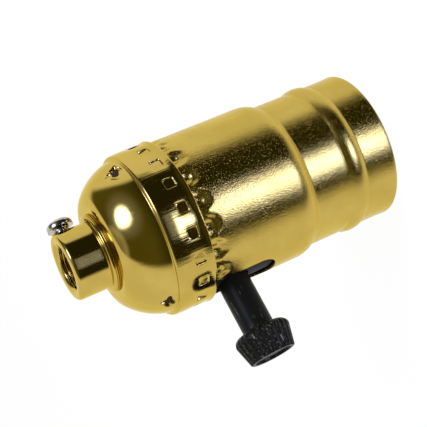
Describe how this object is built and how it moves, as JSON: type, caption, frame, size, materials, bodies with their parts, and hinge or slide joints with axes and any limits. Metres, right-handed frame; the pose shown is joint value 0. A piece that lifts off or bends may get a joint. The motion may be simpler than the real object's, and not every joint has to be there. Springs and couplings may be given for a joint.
{
  "type": "lamp holder",
  "caption": "Brass lamp holder with a turn-knob switch: domed cap with a threaded hub and set screw, beaded sleeve, black fluted knob on a side stem, threaded socket inside.",
  "frame": {"origin": "centre of the threaded bore where it opens at the hub's mouth", "axes": "+Z along the bore and out of the hub; +X along the switch spindle and out of the knob; the part stands on its open rim with the hub up"},
  "size_m": [0.0504, 0.0348, 0.0681],
  "materials": {
    "polished_brass": "polished",
    "satin_brass": "satin",
    "bare_brass": "satin",
    "bronze": "satin",
    "nickel_plate": "polished",
    "steel": "satin",
    "black_moulding": "satin",
    "knob_black": "satin",
    "card": "matte"
  },
  "bodies": {
    "holder": {"cap": "polished_brass", "hub": "polished_brass", "cap_liner": "card", "shell": "satin_brass", "insulating_liner": "card", "switch_body": "black_moulding", "switch_base": "black_moulding", "screw_shell": "bare_brass", "base_screws": "steel", "centre_contact": "bronze", "centre_rivet": "bare_brass", "neutral_rivet": "bare_brass", "line_terminal": "bare_brass", "neutral_terminal": "nickel_plate", "load_contact": "bare_brass", "line_terminal_screw": "bare_brass", "neutral_terminal_screw": "nickel_plate", "detent_spring": "bronze"},
    "switch_shaft": {"switch_spindle": "steel", "switch_rotor": "black_moulding", "contact_bridge": "bare_brass", "spindle_washer": "steel", "knob": "knob_black"},
    "set_screw": {"hub_set_screw": "nickel_plate"}
  },
  "joints": [
    {"name": "knob_turn", "type": "hinge", "parent": "holder", "child": "switch_shaft", "pos_m": [0, 0, -0.02872], "axis": [1, 0, 0], "continuous": true, "deforming": ["detent_spring"]},
    {"name": "set_screw_travel", "type": "slide", "parent": "holder", "child": "set_screw", "axis": [-1, 0, 0], "range_m": [0, 0.0025]}
  ]
}
